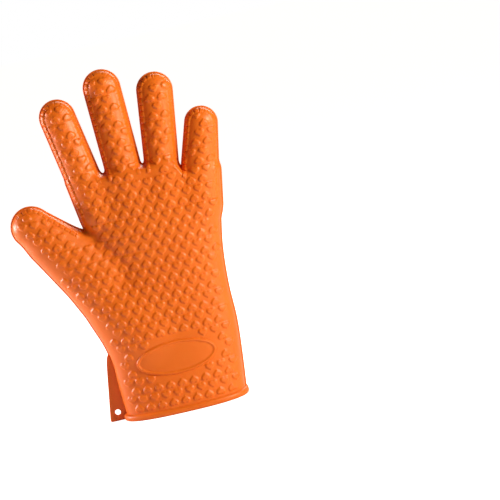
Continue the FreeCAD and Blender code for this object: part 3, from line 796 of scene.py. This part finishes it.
# Rings of the ellipse laid on the skin, raised flat inside a rounded rim that falls to the skin outside.
def addOval(name, side, node):
    k = np.sin(np.linspace(1, ovalGrid["least"], ovalGrid["rows"]) * math.pi / 2)[:, None]
    angle = np.arange(ovalGrid["columns"]) * 2 * math.pi / ovalGrid["columns"]
    a, b = oval["half"]
    x = oval["at"][0] + k * a * np.cos(angle)
    z = oval["at"][1] + k * b * np.sin(angle)
    base = faceBase(x, z, side)
    n = skinNormal(base)
    edge = (1 - k) * a * b / np.sqrt((b * np.cos(angle)) ** 2 + (a * np.sin(angle)) ** 2)
    rim = np.clip(1 - ((edge - oval["rim"] / 2) / (oval["rim"] / 2)) ** 2, 0, 1) ** ovalGrid["rimRound"]
    lift = oval["raise"] * easeIn(*ovalGrid["rise"], edge) + oval["rimHigh"] * rim
    lift = lift - ovalGrid["sunk"] * (edge < ovalGrid["edge"])
    outer, inner = base + n * lift[..., None], (base - n * ovalGrid["deep"])[::ovalGrid["step"]]
    middle = faceBase(np.array(oval["at"][0]), np.array(oval["at"][1]), side)
    centreN = skinNormal(middle)
    poles = [middle + centreN * lift[-1, 0], middle - centreN * ovalGrid["deep"]]
    piece = putMesh(name, [gridShell(outer, inner, ovalGrid["step"], True, poles)], finishes["smooth"])
    standFor(piece, (node,), "root")


addOval("backOval", -1, "back_plate")
addOval("palmOval", 1, "palm_plate")

# the profile gives each point's distance outwards from the path and its height
bead = {
    "proud": 1.5, "around": 260, "samples": 4001, "round": 2.6, "sharp": 60.0,
    "profile": (
        (-1.8, 0.7), (-1.2, 0.0), (0.5, 0.0), (1.1, 0.35), (1.45, 1.1), (1.5, 2.2), (1.4, 3.3),
        (1.0, 4.2), (0.3, 4.75), (-0.5, 5.0), (-1.8, 5.6),
    ),
}


# The profile carried at equal steps round the cuff's rounded oval: a cos and b sin, each to the power
# 2 / round with its sign kept.
def addBead():
    a = (beadHigh[0] - beadLow[0]) / 2 - bead["proud"]
    b = (beadHigh[1] - beadLow[1]) / 2 - bead["proud"]
    t = np.linspace(0, 2 * math.pi, bead["samples"])
    c, s, e = np.cos(t), np.sin(t), 2 / bead["round"]
    fine = np.stack([a * np.sign(c) * np.abs(c) ** e, b * np.sign(s) * np.abs(s) ** e], axis=-1)
    length = np.concatenate([[0], np.cumsum(np.linalg.norm(np.diff(fine, axis=0), axis=1))])
    at = np.linspace(0, length[-1], bead["around"], endpoint=False)
    path = np.stack([np.interp(at, length, fine[:, k]) for k in (0, 1)], axis=-1)
    way = np.roll(path, -1, axis=0) - np.roll(path, 1, axis=0)
    n = np.stack([way[:, 1], -way[:, 0]], axis=-1) / np.linalg.norm(way, axis=-1, keepdims=True)
    o, h = (np.array(v) for v in zip(*bead["profile"]))
    flat = path[:, None] + n[:, None] * o[None, :, None]
    points = np.stack([flat[..., 0], flat[..., 1], np.broadcast_to(h, flat.shape[:2])], axis=-1)
    sides, _ = tubeFaces(*points.shape[:2], True)
    piece = putMesh("cuffBead", [(points.reshape(-1, 3), [sides])], finishes["smooth"], bead["sharp"])
    standFor(piece, ("cuff_bead",), "root")


addBead()

tabLow, tabHigh = (np.array(c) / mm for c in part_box("hang_tab"))
holeAt = next(m for m in frame["record"]["mounts"] if m["name"] == "hang_hole")
tab = {
    "hole": (holeAt["pos_m"][0] / mm - cuffX, holeAt["pos_m"][2] / mm),
    "bore": holeAt["dims"]["r_mm"],
    "low": tabLow[2], "high": tabHigh[2], "out": tabLow[0] - cuffX, "topOut": -54.5, "in": -48.6,
    "topIn": -50.8, "half": (tabHigh[1] - tabLow[1]) / 2, "edge": 0.9,
    "columns": 240, "rows": 30, "first": 0.02, "samples": 7201, "even": 0.7, "rib": 0.5, "ribPitch": 4.2,
    "ribSlope": 0.35, "rim": 1.6, "rimRun": 0.6, "plain": (3.0, 4.0), "holeFall": 0.35, "holeRun": 0.6,
    "soft": 9, "sharp": 60.0,
}


# Distance from the hole to the tab's edge: the nearest of its four sides, with soft corners, from a
# power sum of one over each side's distance.
def tabOutline(angle):
    cx, cz = tab["hole"]
    slant = np.array([tab["topOut"] - tab["out"], tab["high"] - tab["low"]])
    inner = np.array([tab["topIn"] - tab["in"], tab["high"] - tab["low"]])
    sides = [((0.0, -1.0), cz - tab["low"]), ((0.0, 1.0), tab["high"] - cz)]
    for v, x0, way in ((slant, tab["out"], -1), (inner, tab["in"], 1)):
        n = np.array([v[1], -v[0]]) / np.linalg.norm(v) * way
        sides.append((n, n @ (np.array([x0, tab["low"]]) - (cx, cz))))
    d = np.stack([np.cos(angle), np.sin(angle)])
    near = np.stack([np.maximum(n @ d, 1e-6) / far for n, far in sides])
    return 1 / np.sum(near ** tab["soft"], axis=0) ** (1 / tab["soft"])


# Rings from the hole's radius to the edge, with rounded edges on both faces, and ribs on the front one.
def addTab():
    # directions mostly at equal steps along the edge keep the far corner fine
    fine = np.linspace(0, 2 * math.pi, tab["samples"])
    r = tabOutline(fine)
    steps = np.hypot(np.diff(r * np.cos(fine)), np.diff(r * np.sin(fine)))
    length = np.concatenate([[0], np.cumsum(steps)])
    even = np.linspace(0, length[-1], tab["columns"], endpoint=False)
    equal = np.arange(tab["columns"]) * 2 * math.pi / tab["columns"]
    angle = np.interp(even, length, fine) * tab["even"] + equal * (1 - tab["even"])
    edge = tabOutline(angle)
    k = np.concatenate([[0], np.sin(np.linspace(tab["first"], 1, tab["rows"]) * math.pi / 2)])[:, None]
    reach = tab["bore"] + (edge - tab["bore"]) * k
    x = tab["hole"][0] + reach * np.cos(angle)
    z = tab["hole"][1] + reach * np.sin(angle)
    fall = np.sqrt(np.clip(1 - np.clip(1 - (edge - reach) / tab["edge"], 0, 1) ** 2, 0, 1))
    fall = fall * (1 - tab["holeFall"] * (1 - easeIn(0, tab["holeRun"], reach - tab["bore"])))
    core = tab["half"] - tab["edge"]
    rimmed = 1 - easeIn(tab["rim"], tab["rim"] + tab["rimRun"], edge - reach)
    wave = np.abs(z / tab["ribPitch"] - np.floor(z / tab["ribPitch"]) - 0.5) * 2
    ribbed = easeIn(0, tab["ribSlope"], 1 - wave) * easeIn(*tab["plain"], reach - tab["bore"])
    raised = np.maximum(rimmed, ribbed)
    back = np.stack([x, -(core + tab["edge"] * fall), z], axis=-1)
    front = np.stack([x, core + tab["edge"] * fall - tab["rib"] * (1 - raised), z], axis=-1)
    piece = putMesh("hangTab", [gridShell(back, front, 1, True)], finishes["smooth"], tab["sharp"])
    standFor(piece, ("hang_tab",), "root")


addTab()

eyeletLow, eyeletHigh = (np.array(c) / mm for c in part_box("tab_eyelet"))
eyelet = {
    "outer": (eyeletHigh[0] - eyeletLow[0]) / 2, "bore": 3.0, "lap": 0.15, "high": 1.1, "sunk": 0.5,
    "around": 64, "section": 16, "sharp": 60.0,
}


# A ring about the hole: its section is an oval half as wide as the ring and high to each side.
def addEyelet():
    middle = (eyelet["outer"] + eyelet["bore"]) / 2
    half = (eyelet["outer"] - eyelet["bore"]) / 2 + eyelet["lap"]
    away = 1.0 if eyeletLow[1] + eyeletHigh[1] > 0 else -1.0
    around, section = (np.arange(eyelet[k]) * 2 * math.pi / eyelet[k] for k in ("around", "section"))
    psi, phi = np.meshgrid(section, around)
    r = middle + half * np.cos(psi)
    y = away * (tab["half"] - eyelet["sunk"]) + away * eyelet["high"] * np.sin(psi)
    points = np.stack([tab["hole"][0] + r * np.cos(phi), y, tab["hole"][1] + r * np.sin(phi)], axis=-1)
    sides, _ = tubeFaces(*points.shape[:2], True)
    piece = putMesh("tabEyelet", [(points.reshape(-1, 3), [sides])], finishes["smooth"], eyelet["sharp"])
    standFor(piece, ("tab_eyelet",), "root")


addEyelet()
print("plates, bead and tab made")

lightAim = (0, 130)  # across and above the cuff's middle
lights = {
    "key": {"at": (860, -560, 480), "size": 300, "power": 12.5, "colour": (1.0, 1.0, 0.80)},
    "strip": {"at": (-800, 130, 260), "size": 170, "power": 8.0, "colour": (1.0, 0.92, 0.90)},
    "back": {"at": (400, 1000, 800), "size": 700, "power": 9.0, "colour": (1.0, 0.96, 0.88)},
}


# A square lamp that faces the middle of the glove.
def addLight(name, s):
    data = bpy.data.lights.new(name, "AREA")
    data.shape = "SQUARE"
    data.size = s["size"] * mm
    data.energy = s["power"]
    data.color = s["colour"]
    lamp = bpy.data.objects.new(name, data)
    bpy.context.scene.collection.objects.link(lamp)
    place = Vector(s["at"]) * mm
    lamp.location = place
    aim = Vector((cuffX + lightAim[0], 0, lightAim[1])) * mm - place
    lamp.rotation_euler = aim.to_track_quat("-Z", "Y").to_euler()


for name, s in lights.items():
    addLight(name, s)

# the floor and the room look plain white to the camera, and light the glove less and warmer than that
studio = {
    "floor": {"half": 20.0, "colour": (0.9, 0.9, 0.9, 1), "rough": 0.9, "glow": (1, 1, 1, 1), "seen": 0.93},
    "room": {"light": 0.17, "seen": 1.0, "tone": (1.0, 0.52, 0.38, 1), "white": (1, 1, 1, 1)},
}


# A value that is low for light on the glove and high for the camera's own view.
def seenValue(tree, low, high):
    path = tree.nodes.new("ShaderNodeLightPath")
    value = tree.nodes.new("ShaderNodeMapRange")
    value.inputs["To Min"].default_value = low
    value.inputs["To Max"].default_value = high
    tree.links.new(path.outputs["Is Camera Ray"], value.inputs["Value"])
    return path.outputs["Is Camera Ray"], value.outputs["Result"]


def addFloor(s):
    material = bpy.data.materials.new("paleFloor")
    material.use_nodes = True
    shader = material.node_tree.nodes["Principled BSDF"]
    shader.inputs["Base Color"].default_value = s["colour"]
    shader.inputs["Roughness"].default_value = s["rough"]
    shader.inputs["Emission Color"].default_value = s["glow"]
    _, glow = seenValue(material.node_tree, 0.0, s["seen"])
    material.node_tree.links.new(glow, shader.inputs["Emission Strength"])
    half = s["half"]
    mesh = bpy.data.meshes.new("floor")
    corners = [(-half, -half, 0), (half, -half, 0), (half, half, 0), (-half, half, 0)]
    mesh.from_pydata(corners, [], [(0, 1, 2, 3)])
    mesh.materials.append(material)
    floor = bpy.data.objects.new("floor", mesh)
    bpy.context.scene.collection.objects.link(floor)


def addRoom(s):
    world = bpy.data.worlds.new("studio")
    world.use_nodes = True
    nodes, links = world.node_tree.nodes, world.node_tree.links
    seen, glow = seenValue(world.node_tree, s["light"], s["seen"])
    tone = nodes.new("ShaderNodeMix")
    tone.data_type = "RGBA"
    tone.inputs[6].default_value = s["tone"]
    tone.inputs[7].default_value = s["white"]
    links.new(seen, tone.inputs[0])
    links.new(tone.outputs[2], nodes["Background"].inputs["Color"])
    links.new(glow, nodes["Background"].inputs["Strength"])
    bpy.context.scene.world = world
    bpy.context.scene.view_settings.view_transform = "Standard"


addFloor(studio["floor"])
addRoom(studio["room"])
print("lights, floor and room made")

print("finished")
